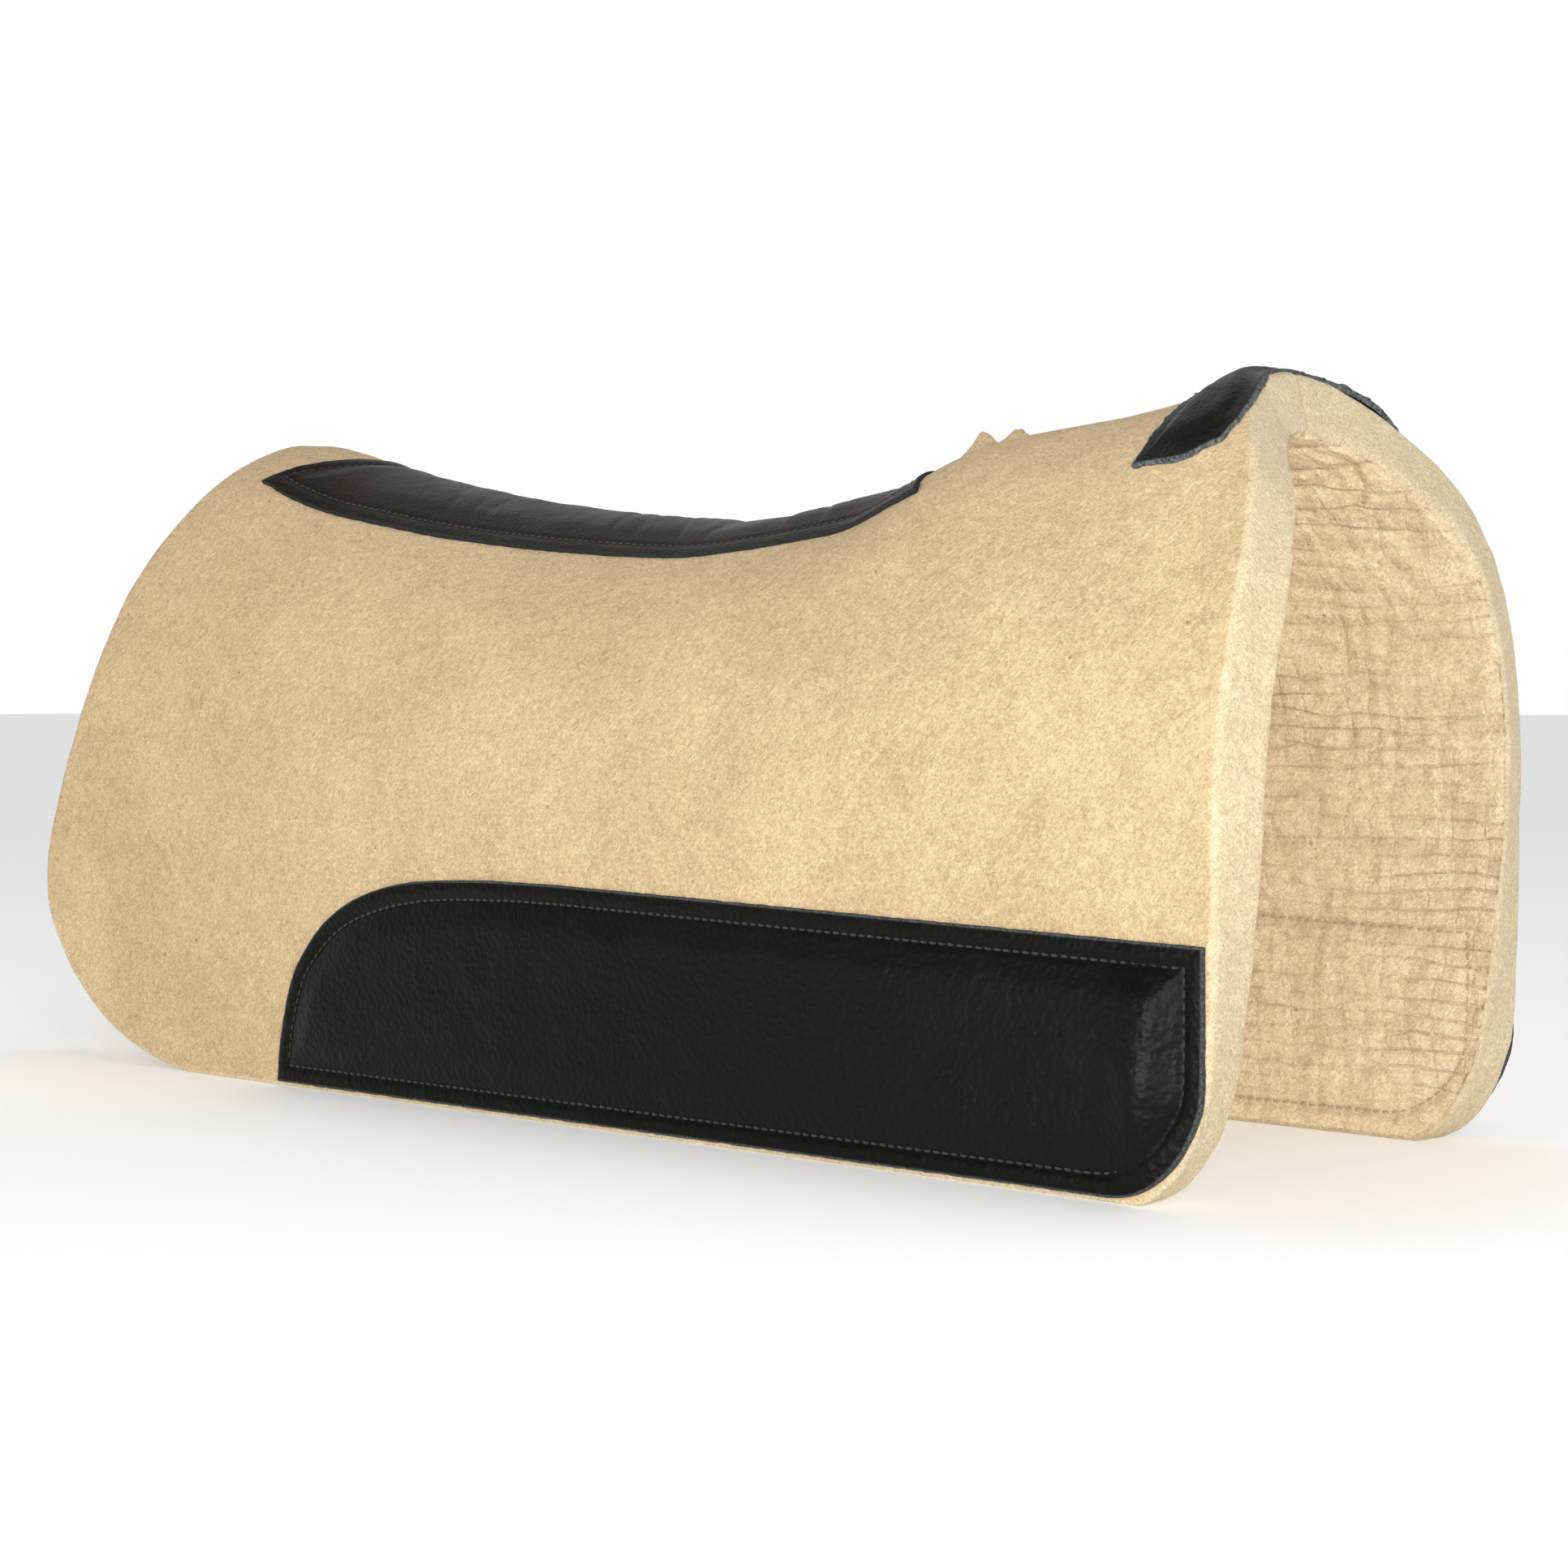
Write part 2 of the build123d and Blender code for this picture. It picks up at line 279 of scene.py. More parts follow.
# ------------------------------------------------------------------ felt
def felt_half(name, side, seed):
    nx, low, high = 262, 56, 92
    t = np.linspace(0, 1, low, endpoint=False)
    q = np.concatenate([0.016 + 0.984 * t**1.5, np.linspace(1, 2, high)])
    u = np.linspace(0, 1, nx)
    U, Q = np.meshgrid(u, q, indexing="ij")
    rear_b = eased(RIDGE, -315.0) - SHOULDER
    height_rear = np.where(Q < 1, SHOULDER * Q, SHOULDER + rear_b * np.sin(np.radians((Q - 1).clip(0) * 90)))
    rear = eased(REAR_BY_ROOT, np.sqrt(height_rear.clip(0)))
    front = np.where(Q < 1, eased(FRONT_BY_ROOT, np.sqrt(SHOULDER * Q)), eased(FRONT, (Q - 1).clip(0) * 90))
    r = 3.0
    rear, front = rear + r, front - r
    X = rear + (front - rear) * U
    # the ridge edge stands back round the opening over the withers
    into = np.clip(np.minimum(X - SLOT_FROM, SLOT_TO - X), 0, SLOT_HALF)
    gap = np.sqrt(np.clip(SLOT_HALF**2 - (SLOT_HALF - into) ** 2, 0, None))
    top_turn = 1 + np.degrees(np.arccos(np.clip(np.maximum(gap, 1.1) / HALF_WIDTH, 0, 1))) / 90
    Q2 = Q - (2 - top_turn) * np.clip((Q - 1.35) / 0.65, 0, 1) ** 1.5
    P, N = arch(X, Q2)
    lean = (7.1 * step(60, 160, P[..., 2]) - 3.5 * (1 - step(10, 100, P[..., 2]))) * step(230, 385, X)
    inner = P - FELT * N
    inner[..., 0] += lean
    rounding = np.full(P.shape[:2], r)
    rounding[:, -1] = 1.0
    rounding[(into[:, -1] > 2), -1] = 2.4
    depths = np.array([0, 0.012, 0.04, 0.08, 0.13, 0.2, 0.29, 0.38, 0.47, 0.56, 0.65, 0.74, 0.82, 0.88, 0.93, 0.965,
                       0.99, 1.0])
    points, faces, where = slab(P, inner, rounding, depths, flip=(side > 0))
    n = normals_of(points, faces)
    if side > 0:
        n = n
    p = points
    x, y, z = p.T
    count = P.shape[0] * P.shape[1]
    is_top, is_rim, is_in = where == 0, where == 1, where == 2
    move = np.zeros(len(p))
    # outer face: soft hollows and the nap's lumps; it is pressed flat under the leathers
    soft = (0.9 * noise(p, 95, seed) + 0.45 * noise(p, 34, seed + 1) + 0.22 * noise(p, 13, seed + 2)
            + 0.1 * noise(p, 6, seed + 3))
    under_leather = np.maximum(step(-284, -272, x) * (1 - step(182, 192, x)) * (1 - step(58, 66, np.abs(y))),
                               np.maximum(step(310, 316, x) * (1 - step(74, 80, np.abs(y))) * (z > 200),
                                          (1 - step(110, 118, z)) * step(-184, -150, x)))
    move += is_top * (soft * (1 - 0.8 * under_leather) - 0.5 * under_leather)
    # inner face: the pinkish side, crinkled mostly along the pad, creased under the ridge
    wx, wz = 9 * noise(p, 60, seed + 4), 7 * noise(p, 45, seed + 5)
    arc = np.where(z < SHOULDER, z, SHOULDER + (np.arctan2(z - SHOULDER, y + 1e-3)) * 125)
    flat = np.stack([x + wx, arc + wz + 0.12 * x, np.zeros_like(x)], -1)
    lines = [creases(flat, (70, 15, 40), seed + 6), creases(flat, (34, 8, 40), seed + 7, 6),
             creases(flat, (22, 60, 40), seed + 8, 9), creases(flat, (13, 8, 40), seed + 9, 5)]
    ridges = 1.3 * lines[0] + 0.8 * lines[1] + 0.9 * lines[2] + 0.5 * lines[3]
    fold = 1.6 * creases(np.stack([x * 0.6 + y, z - y * 0.9, np.zeros_like(x)], -1), (60, 42, 50), seed + 10, 10)
    rear_rows = border(wear_plan, 0.0, INSET)
    groove = distance(np.stack([x, z], 1)[is_in], rear_rows)
    sunk = np.zeros(len(p))
    sunk[is_in] = np.where(z[is_in] < 130, 1.5 * np.exp(-((groove / 2.2) ** 2)) + 0.5 * np.exp(-((groove / 8) ** 2)), 0)
    for plan, inset, lo in ((spine_plan, INSET, -1.0), (wither_plan, WITHER_INSET, -1.0)):
        line = border(plan, lo, inset) * (1, INSIDE)
        near = is_in & (z > 225)
        far_off = distance(np.stack([x, y], 1)[near], line)
        sunk[near] += 1.4 * np.exp(-((far_off / 2.2) ** 2))
    puff = 0.9 * noise(p, (40, 18, 18), seed + 11)
    sag = 5.0 * hump(np.degrees(np.arctan2(z - SHOULDER, y + 1e-3)), 66, 17) * step(260, 370, x) * (z > SHOULDER)
    move += is_in * (puff - ridges - fold * step(150, 260, z) - sunk + 0.5 + sag)
    # cut edges: clean but not quite straight
    move += is_rim * (0.35 * noise(p, 30, seed + 12) + 0.3 * noise(p, 8, seed + 13) + 0.15 * noise(p, 4, seed + 14))
    butt = is_rim & (np.abs(y) < 4) & ~((x > SLOT_FROM) & (x < SLOT_TO))
    move[butt] = np.minimum(move[butt] * 0.3, 0.2)
    ground = z < 3.2
    move[ground] = 0
    p = p + n * move[:, None]
    # the felt's corner at the rear of the opening stands up in two soft points
    tip = (8.5 * np.clip(1 - np.abs(x - 190 - 3 * (side > 0)) / 9, 0, 1) + 4.5 * np.clip(1 - np.abs(x - 210) / 6, 0, 1)
           - 1.2 * hump(x, 202, 4) + 0.8 * noise(p, 3.5, seed + 15))
    p[:, 2] += (tip * (x > 180) * (x < 217) * np.clip(1.35 - np.abs(np.abs(y) - 17) / 7, 0, 1) * (z > 275)
                * (1 if side < 0 else 0.75))
    # a small notch where the two halves part at the rear of the ridge
    part = hump(x, -301, 7) * hump(y, 0, 9) * (z > 290)
    p[:, 2] -= 3.0 * part
    p[:, 2] = np.maximum(p[:, 2], 0.0)
    p[:, 1] = np.maximum(p[:, 1], 0.12)
    cut = np.where(is_rim, 1.0, 0.0)
    # painted shade: the inner face's creases, fold and stitch grooves become a mask that darkens their colour
    crease_shade_mask = np.where(is_in, np.clip(0.9 * lines[0] ** 2 + 0.6 * lines[1] ** 2 + 0.7 * lines[2] ** 2 + 0.25 * lines[3]
                                   + fold * step(150, 260, z) * 0.35 + sunk * 0.4, 0, 1), 0)
    p[:, 1] *= side
    obj = to_object(name, p, faces, cut=cut, inside=is_in.astype(float), crease=crease_shade_mask)
    return obj


felt_left = felt_half("felt_left_body", 1, 20)
felt_right = felt_half("felt_right_body", -1, 50)
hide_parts("felt_left")
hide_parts("felt_right")


# ------------------------------------------------------------------ leathers
def leather(name, node, place, plan, lo, inset, shape, puff, seed, wrinkles, fray, side=1, swell=None):
    """A stitched-down leather. place(plan points) gives the felt's face and normal there."""
    nu, nv = shape
    ease_in = lambda n: 0.5 - 0.5 * np.cos(np.linspace(0, 1, n) * math.pi)
    u = 0.55 * np.linspace(0, 1, nu) + 0.45 * ease_in(nu)
    v = lo + (1 - lo) * (0.45 * np.linspace(0, 1, nv) + 0.55 * ease_in(nv))
    U, V = np.meshgrid(u, v, indexing="ij")
    flat = plan(U, V, 0.8)
    edge_line, row_line = border(plan, lo, 0.0), border(plan, lo, inset)
    q = flat.reshape(-1, 2)
    jag = noise(np.stack([q[:, 0], q[:, 1], 0 * q[:, 0]], 1), 5, seed) * 0.5
    d_edge = distance(q, edge_line).reshape(flat.shape[:2])
    d_row = distance(q, row_line).reshape(flat.shape[:2])
    P, N = place(flat)
    body = step(*(swell or (inset, inset + 15)), d_edge)
    lift = 2.4 + puff * body - (0.4 if swell else 1.0) * np.exp(-((d_row / 1.9) ** 2)) + 0.25 * hump(d_edge, inset * 0.5, inset * 0.3)
    p3 = P.copy()
    lift = lift + wrinkles(p3, body) + 0.25 * noise(p3, 22, seed + 1) * (0.3 + body) + 0.07 * noise(p3, 7, seed + 2)
    top = P + N * lift[..., None]
    under = P - N * 0.6
    points, faces, where = slab(top, under, 0.7, np.array([0, 0.06, 0.16, 0.33, 0.5, 0.67, 0.84, 0.94, 1.0]),
                                flip=(side > 0))
    n = normals_of(points, faces)
    rim = where == 1
    ragged = fray * (noise(points, 3.6, seed + 3) + 0.5 * noise(points, 1.8, seed + 4))
    points = points + n * (rim * ragged)[:, None]
    points[:, 1] *= side
    points[:, 2] = np.maximum(points[:, 2], 0.6)
    # painted shade: a mask of the flat margin outside the stitch row, which the material darkens
    margin = np.zeros(len(points))
    margin[:d_edge.size] = 1 - step(inset - 1, inset + 1.5, d_edge.ravel())
    raw = np.where(rim, 1.0, 0.0)
    raw[:d_edge.size] = 1 - step(0.85, 1.35, d_edge.ravel() + 0.4 * jag.ravel())
    obj = to_object(name, points, faces, raw=raw, margin=margin)
    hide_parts(node)
    return obj


def on_ridge(flat):
    return over_ridge(flat[..., 0], flat[..., 1])


def on_flap(flat):
    p = np.stack([flat[..., 0], np.full(flat.shape[:-1], HALF_WIDTH), flat[..., 1]], -1)
    return p, np.broadcast_to(np.array([0.0, 1.0, 0.0]), p.shape).copy()


def spine_wrinkles(p, body):
    """The sunk middle of the spine gathers the leather in slanting folds."""
    lean = np.stack([p[..., 0] + 0.55 * p[..., 1] + 6 * noise(p, 30, 81), p[..., 1] * 0.35, 0 * p[..., 0]], -1)
    gathered = hump(p[..., 0], 70, 95)
    return -(0.55 + 1.0 * gathered) * 0.8 * creases(lean, (17, 26, 40), 82, 6) * body - 0.25 * creases(
        lean, (7, 18, 40), 83, 5) * body + 0.3 * noise(lean, (16, 30, 40), 84) * (0.4 + gathered) * body


def wither_wrinkles(p, body):
    lean = np.stack([p[..., 0] * 0.5, p[..., 1] + p[..., 0] * 0.4, 0 * p[..., 0]], -1)
    return -0.35 * creases(lean, (14, 5, 40), 86, 6) * body + 1.2 * body * step(322, 334, p[..., 0])


def wear_wrinkles(p, body):
    lean = np.stack([p[..., 0], p[..., 2], 0 * p[..., 0]], -1)
    front = step(250, 370, p[..., 0])
    roll = hump(p[..., 0], 353 + 2 * noise(lean, (40, 16, 40), 91), 12) * hump(p[..., 2], 46, 36)
    return (0.5 * noise(lean, (60, 30, 40), 88) * body + 4.2 * roll + front * body * (0.5 * hump(p[..., 2], 55, 34)
            + 0.3 * noise(lean, (9, 7, 40), 89)) + 0.08 * noise(lean, (4.5, 4.0, 40), 90) * body)


spine = leather("spine_leather_strip", "spine_leather", on_ridge, spine_plan, -1.0, INSET, (300, 84), 2.3, 60,
                spine_wrinkles, 0.3)
wither = leather("wither_leather_patch", "wither_leather", on_ridge, wither_plan, -1.0, WITHER_INSET, (44, 130), 3.0, 64,
                 wither_wrinkles, 0.9, swell=(3.0, 13.0))
wears = {}
for word, side in (("left", 1), ("right", -1)):
    wears[word] = leather(f"wear_leather_{word}_panel", f"wear_leather_{word}", on_flap, wear_plan, 0.0, INSET,
                          (330, 76), 2.4, 68 + side, wear_wrinkles, 0.2, side)


# ------------------------------------------------------------------ stitches
def stitches(name, node, line, place, lift, pitch=4.8, side=1, down=False, wide=0.55, tall=0.5):
    """One short thread after another along a row, each bedded at both ends."""
    row = even(line, pitch / 6)
    count = len(row) // 6
    rings, around = 7, 6
    points, faces = [], []
    P, N = place(row)
    P = P + N * lift
    for k in range(count):
        at = np.linspace(6 * k + 0.9, 6 * k + 5.1, rings) % len(row)
        i = np.floor(at).astype(int)
        f = (at - i)[:, None]
        c = P[i] * (1 - f) + P[(i + 1) % len(row)] * f
        n = N[i]
        t = np.gradient(c, axis=0)
        t /= np.linalg.norm(t, axis=1, keepdims=True) + 1e-9
        b = np.cross(t, n)
        s = np.sin(np.linspace(0.12, math.pi - 0.12, rings)) ** 0.5
        for j in range(rings):
            for a in range(around):
                turn = 2 * math.pi * a / around
                up = tall * s[j] * math.sin(turn) + tall * (s[j] - 0.55)
                points.append(c[j] + b[j] * (wide * (0.35 + 0.65 * s[j]) * math.cos(turn)) + n[j] * up)
        base = k * rings * around
        for j in range(rings - 1):
            for a in range(around):
                p0, p1 = base + j * around + a, base + j * around + (a + 1) % around
                faces.append([p0, p1, p1 + around, p0 + around])
        faces.append([base + a for a in range(around)][::-1])
        faces.append([base + (rings - 1) * around + a for a in range(around)])
    points = np.array(points)
    points[:, 1] *= side
    if side < 0:
        faces = [f[::-1] for f in faces]
    obj = to_object(name, points, faces)
    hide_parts(node)
    return obj


def inside_ridge(flat):
    """The same row where it comes out under the arch."""
    p, n = over_ridge(flat[..., 0], flat[..., 1])
    q = p - n * (FELT - 0.2)
    return q, -n


def inside_flap(flat):
    p, n = on_flap(flat)
    return p - n * (FELT - 0.2), -n


spine_needle = stitches("spine_needle_stitches", "spine_needle_thread", border(spine_plan, -1.0, INSET), on_ridge, 1.5)
wither_needle = stitches("wither_needle_stitches", "wither_needle_thread", border(wither_plan, -1.0, WITHER_INSET),
                         on_ridge, 1.5)
spine_bobbin = stitches("spine_bobbin_stitches", "spine_bobbin_thread", border(spine_plan, -1.0, INSET), inside_ridge, -1.3)
wither_bobbin = stitches("wither_bobbin_stitches", "wither_bobbin_thread", border(wither_plan, -1.0, WITHER_INSET),
                         inside_ridge, -1.3)
rigid = []
for word, side in (("left", 1), ("right", -1)):
    line = border(wear_plan, 0.0, INSET)
    rigid.append((stitches(f"wear_needle_stitches_{word}", f"wear_needle_thread_{word}", line, on_flap, 1.5,
                           side=side), word, "needle"))
    rigid.append((stitches(f"wear_bobbin_stitches_{word}", f"wear_bobbin_thread_{word}", line, inside_flap, -1.3,
                           side=side), word, "bobbin"))


# ------------------------------------------------------------------ materials
def material(name):
    m = bpy.data.materials.new(name)
    m.use_nodes = True
    return m, m.node_tree, m.node_tree.nodes["Principled BSDF"]


def node(tree, kind, **values):
    made = tree.nodes.new(kind)
    for key, value in values.items():
        if key.startswith("_"):
            setattr(made, key[1:], value)
        else:
            made.inputs[key.replace("__", " ")].default_value = value
    return made


def ramp(tree, source, stops):
    made = tree.nodes.new("ShaderNodeValToRGB")
    while len(made.color_ramp.elements) < len(stops):
        made.color_ramp.elements.new(0.5)
    for element, (at, colour) in zip(made.color_ramp.elements, stops):
        element.position = at
        element.color = colour if len(colour) == 4 else (*colour, 1)
    tree.links.new(source, made.inputs["Fac"])
    return made.outputs["Color"]


def mix(tree, fac, a, b, kind="MIX"):
    made = tree.nodes.new("ShaderNodeMix")
    made.data_type = "RGBA"
    made.blend_type = kind
    for value, socket in ((fac, made.inputs[0]), (a, made.inputs[6]), (b, made.inputs[7])):
        if hasattr(value, "default_value") and hasattr(value, "links"):
            tree.links.new(value, socket)
        elif isinstance(value, (int, float)):
            socket.default_value = value
        else:
            socket.default_value = (*value, 1)
    return made.outputs[2]


def maths(tree, kind, a, b):
    made = tree.nodes.new("ShaderNodeMath")
    made.operation = kind
    for value, socket in ((a, made.inputs[0]), (b, made.inputs[1])):
        if isinstance(value, (int, float)):
            socket.default_value = value
        else:
            tree.links.new(value, socket)
    return made.outputs[0]


def stretched(tree, scale):
    where = node(tree, "ShaderNodeTexCoord")
    made = node(tree, "ShaderNodeMapping")
    made.inputs["Scale"].default_value = scale
    tree.links.new(where.outputs["Object"], made.inputs["Vector"])
    return made.outputs["Vector"]


def noise_at(tree, vector, scale, detail=4.0, rough=0.6, warp=0.0):
    made = node(tree, "ShaderNodeTexNoise", Scale=scale, Detail=detail, Roughness=rough, Distortion=warp)
    tree.links.new(vector, made.inputs["Vector"])
    return made.outputs["Fac"]


def attribute(tree, name):
    return node(tree, "ShaderNodeAttribute", _attribute_name=name).outputs["Fac"]


def felt_material():
    m, tree, shader = material("wool_felt")
    plain = stretched(tree, (1, 1, 1))
    strands = []
    for turn, scale in (((0.0, 0.8, 0.4), 1050), ((0.9, -0.5, 0.3), 1200), ((0.3, 1.7, -0.3), 950)):
        slant = stretched(tree, (1.0, 1.0, 4.5))
        slant.node.vector_type = "TEXTURE"
        slant.node.inputs["Rotation"].default_value = turn
        strands.append(noise_at(tree, slant, scale, 2.5, 0.6, 0.9))
    fibre = maths(tree, "MAXIMUM", maths(tree, "MAXIMUM", strands[0], strands[1]), strands[2])
    broad = noise_at(tree, plain, 11, 4, 0.6)
    mottle = noise_at(tree, plain, 75, 5, 0.7, 0.5)
    fleck = noise_at(tree, plain, 240, 4, 0.7, 1.2)
    outer = ramp(tree, mottle, [(0.34, (0.47, 0.340, 0.195)), (0.46, (0.575, 0.425, 0.243)), (0.6, (0.645, 0.485, 0.287))])
    outer = mix(tree, 0.6, outer, ramp(tree, fleck, [(0.36, (0.40, 0.285, 0.17)), (0.47, (0.58, 0.43, 0.245)),
                                                   (0.62, (0.72, 0.555, 0.345))]))
    outer = mix(tree, 0.38, outer, ramp(tree, broad, [(0.38, (0.49, 0.36, 0.20)), (0.62, (0.68, 0.51, 0.30))]))
    # painted light: the inner face is given a much lighter colour than the outer face, to make up for the shade it gets
    # under the arch
    inner = ramp(tree, mottle, [(0.34, (0.84, 0.67, 0.44)), (0.48, (0.92, 0.75, 0.51)), (0.64, (0.96, 0.80, 0.57))])
    inner = mix(tree, 0.3, inner, ramp(tree, fleck, [(0.36, (0.68, 0.50, 0.31)), (0.62, (0.94, 0.79, 0.56))]))
    # painted shade: the inner face is darkened along its creases, fold and stitch grooves
    inner = mix(tree, maths(tree, "MULTIPLY", attribute(tree, "crease"), 0.3), inner, (0.50, 0.36, 0.215))
    # the crinkles: long shallow folds along the pad, crossed by weaker upright ones; their lines sink the bump and
    # darken the colour as painted shade
    folds = []
    for turn, squeeze, scale, bend in (("Z", (9, 20, 30), 1.3, 6.5), ("X", (30, 20, 14), 0.75, 11.0)):
        wave = node(tree, "ShaderNodeTexWave", _bands_direction=turn, Scale=scale, Distortion=bend, Detail=3.0,
                    Detail__Scale=1.1, Detail__Roughness=0.62)
        tree.links.new(stretched(tree, squeeze), wave.inputs["Vector"])
        folds.append(wave.outputs["Fac"])
    some = ramp(tree, noise_at(tree, stretched(tree, (9, 20, 30)), 1.0, 2), [(0.40, (0.12, 0.12, 0.12)), (0.6, (1, 1, 1))])
    crinkle_lines_and_shade = mix(tree, 1.0, ramp(tree, folds[0], [(0.0, (1, 1, 1)), (0.10, (0, 0, 0))]), some, "MULTIPLY")
    upright = ramp(tree, folds[1], [(0.0, (0.4, 0.4, 0.4)), (0.08, (0, 0, 0))])
    crinkle_lines_and_shade = mix(tree, 1.0, crinkle_lines_and_shade, mix(tree, 1.0, upright, some, "MULTIPLY"), "LIGHTEN")
    crinkle_lines_and_shade = mix(tree, 1.0, crinkle_lines_and_shade, mix(tree, attribute(tree, "inside"), (0.0, 0.0, 0.0), (1.0, 1.0, 1.0)), "MULTIPLY")
    pillows = node(tree, "ShaderNodeTexVoronoi", _feature="SMOOTH_F1", Scale=1.0, Smoothness=0.6, Randomness=0.9)
    tree.links.new(stretched(tree, (95, 95, 135)), pillows.inputs["Vector"])
    pillow_seams_and_shade = mix(tree, attribute(tree, "inside"), (0.0, 0.0, 0.0), pillows.outputs["Distance"])
    # painted shade: the inner face is darkened a little towards the seams between the pillows
    inner = mix(tree, maths(tree, "MULTIPLY", pillow_seams_and_shade, 0.1), inner, (0.50, 0.345, 0.21))
    # painted shade: the inner face is darkened along the crinkle lines
    inner = mix(tree, maths(tree, "MULTIPLY", crinkle_lines_and_shade, 0.33), inner, (0.46, 0.32, 0.19))
    cut = ramp(tree, mottle, [(0.34, (0.60, 0.49, 0.31)), (0.5, (0.645, 0.535, 0.35)), (0.64, (0.68, 0.575, 0.385))])
    cut = mix(tree, 0.2, cut, ramp(tree, fleck, [(0.36, (0.50, 0.39, 0.245)), (0.62, (0.74, 0.63, 0.43))]))
    colour = mix(tree, attribute(tree, "inside"), outer, inner)
    colour = mix(tree, attribute(tree, "cut"), colour, cut)
    fine = ramp(tree, fibre, [(0.45, (0.72, 0.69, 0.65)), (0.57, (1.0, 1.0, 1.0)), (0.68, (1.32, 1.32, 1.3))])
    colour = mix(tree, 0.8, colour, mix(tree, 1.0, colour, fine, "MULTIPLY"))
    cells = node(tree, "ShaderNodeTexVoronoi", Scale=120.0)
    tree.links.new(plain, cells.inputs["Vector"])
    specks = ramp(tree, cells.outputs["Distance"], [(0.06, (1, 1, 1)), (0.16, (0, 0, 0))])
    few = ramp(tree, noise_at(tree, plain, 40, 2), [(0.6, (0, 0, 0)), (0.68, (0.8, 0.8, 0.8))])
    colour = mix(tree, mix(tree, 1.0, specks, few, "MULTIPLY"), colour, (0.17, 0.12, 0.08))
    for turn, size in (((0.2, 0.9, 0.5), 0.9), ((0.6, -0.8, 0.2), 1.0)):
        lie = stretched(tree, (1.0, 1.0, 6.0))
        lie.node.vector_type = "TEXTURE"
        lie.node.inputs["Rotation"].default_value = turn
        hairs = node(tree, "ShaderNodeTexVoronoi", Scale=210.0 * size)
        tree.links.new(lie, hairs.inputs["Vector"])
        stray = ramp(tree, hairs.outputs["Distance"], [(0.05, (1, 1, 1)), (0.14, (0, 0, 0))])
        where = ramp(tree, noise_at(tree, lie, 60 * size, 2), [(0.56, (0, 0, 0)), (0.64, (0.55, 0.55, 0.55))])
        colour = mix(tree, mix(tree, 1.0, stray, where, "MULTIPLY"), colour, (0.26, 0.185, 0.115))
    tree.links.new(colour, shader.inputs["Base Color"])
    rough = ramp(tree, mottle, [(0.3, (0.88, 0.88, 0.88)), (0.7, (0.99, 0.99, 0.99))])
    tree.links.new(rough, shader.inputs["Roughness"])
    shader.inputs["Specular IOR Level"].default_value = 0.1
    shader.inputs["Sheen Weight"].default_value = 0.1
    shader.inputs["Sheen Roughness"].default_value = 0.5
    shader.inputs["Sheen Tint"].default_value = (1.0, 0.93, 0.8, 1)
    height = maths(tree, "ADD", maths(tree, "MULTIPLY", fleck, 0.9), maths(tree, "MULTIPLY", fibre, 0.6))
    height = maths(tree, "ADD", height, maths(tree, "MULTIPLY", noise_at(tree, plain, 130, 4), 1.1))
    height = maths(tree, "SUBTRACT", height, maths(tree, "MULTIPLY", crinkle_lines_and_shade, 0.8))
    height = maths(tree, "SUBTRACT", height, maths(tree, "MULTIPLY", pillow_seams_and_shade, 1.6))
    crinkle = maths(tree, "ADD", folds[0], maths(tree, "MULTIPLY", folds[1], 0.6))
    crinkle = maths(tree, "MULTIPLY", crinkle, attribute(tree, "inside"))
    height = maths(tree, "ADD", height, maths(tree, "MULTIPLY", crinkle, 0.75))
    bump = node(tree, "ShaderNodeBump", Strength=0.75, Distance=0.0013)
    tree.links.new(height, bump.inputs["Height"])
    tree.links.new(bump.outputs["Normal"], shader.inputs["Normal"])
    return m


def leather_material(name, pebble, base, lit, gloss, shine, fresh=0.09):
    m, tree, shader = material(name)
    plain = stretched(tree, (1, 1, 1))
    grain = node(tree, "ShaderNodeTexVoronoi", _feature="SMOOTH_F1", Scale=pebble, Smoothness=0.45, Randomness=1.0)
    tree.links.new(plain, grain.inputs["Vector"])
    small = noise_at(tree, plain, pebble * 2.4, 4, 0.65, 0.6)
    patchy = noise_at(tree, plain, 24, 4, 0.6)
    lines = noise_at(tree, stretched(tree, (1.0, 0.16, 0.5)), 260, 4, 0.7, 1.5)
    colour = ramp(tree, patchy, [(0.35, base), (0.7, lit)])
    colour = mix(tree, 0.35, colour, ramp(tree, lines, [(0.4, base), (0.68, lit)]))
    # painted shade: the flat margin outside the stitch row is darkened to three quarters of the base colour
    colour = mix(tree, attribute(tree, "margin"), colour, tuple(c * 0.75 for c in base))
    edge = ramp(tree, noise_at(tree, plain, 700, 3, 0.7), [(0.35, (0.018, 0.021, 0.022)), (0.62, (0.94 * fresh, fresh, 0.97 * fresh))])
    colour = mix(tree, attribute(tree, "raw"), colour, edge)
    tree.links.new(colour, shader.inputs["Base Color"])
    low, high = gloss
    rough = ramp(tree, patchy, [(0.3, (low,) * 3), (0.7, (high,) * 3)])
    rough = mix(tree, attribute(tree, "raw"), rough, (0.9, 0.9, 0.9))
    tree.links.new(rough, shader.inputs["Roughness"])
    shader.inputs["Specular IOR Level"].default_value = shine
    height = maths(tree, "ADD", maths(tree, "MULTIPLY", grain.outputs["Distance"], 0.9),
                   maths(tree, "MULTIPLY", small, 0.35))
    height = maths(tree, "ADD", height, maths(tree, "MULTIPLY", lines, 0.35))
    bump = node(tree, "ShaderNodeBump", Strength=0.6, Distance=0.0006)
    tree.links.new(height, bump.inputs["Height"])
    tree.links.new(bump.outputs["Normal"], shader.inputs["Normal"])
    return m


